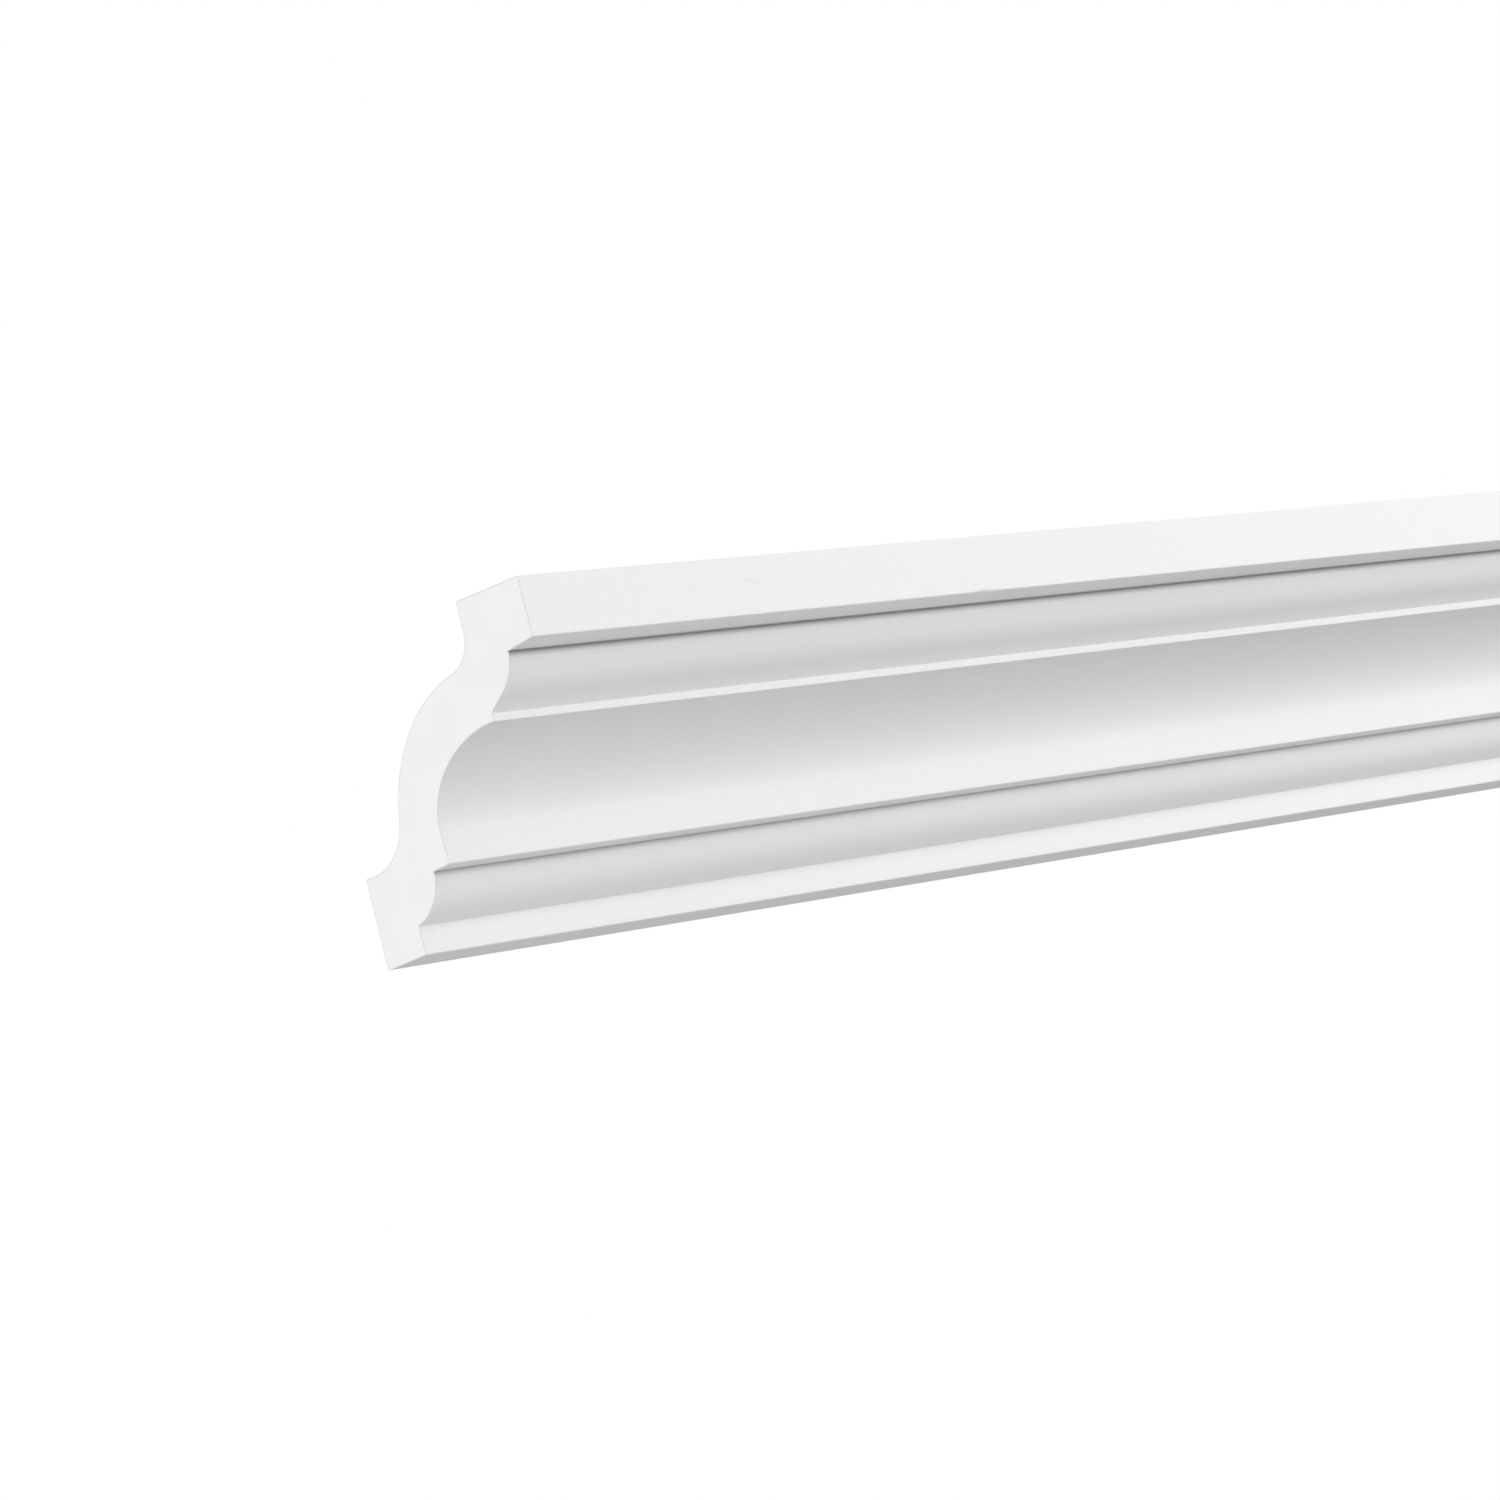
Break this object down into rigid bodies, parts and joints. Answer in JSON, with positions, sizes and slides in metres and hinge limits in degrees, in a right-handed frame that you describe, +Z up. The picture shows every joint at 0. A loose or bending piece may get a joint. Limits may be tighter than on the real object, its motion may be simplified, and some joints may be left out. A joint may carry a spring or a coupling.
{
  "type": "crown moulding length",
  "caption": "Straight run of white crown moulding with a deep cove between stepped ovolos, flat bearing faces and a hollow back.",
  "frame": {"origin": "the middle of the flat that bears on the wall, halfway along the length", "axes": "+X along the length, +Y into the wall, so -Y is the room, +Z up to the ceiling"},
  "size_m": [1, 0.098, 0.0999],
  "materials": {
    "primed_foam": "white primer on rigid polyurethane foam, matte and finely pebbled, saw-cut ends"
  },
  "bodies": {
    "root": {"crown_moulding": "primed_foam"}
  },
  "joints": []
}
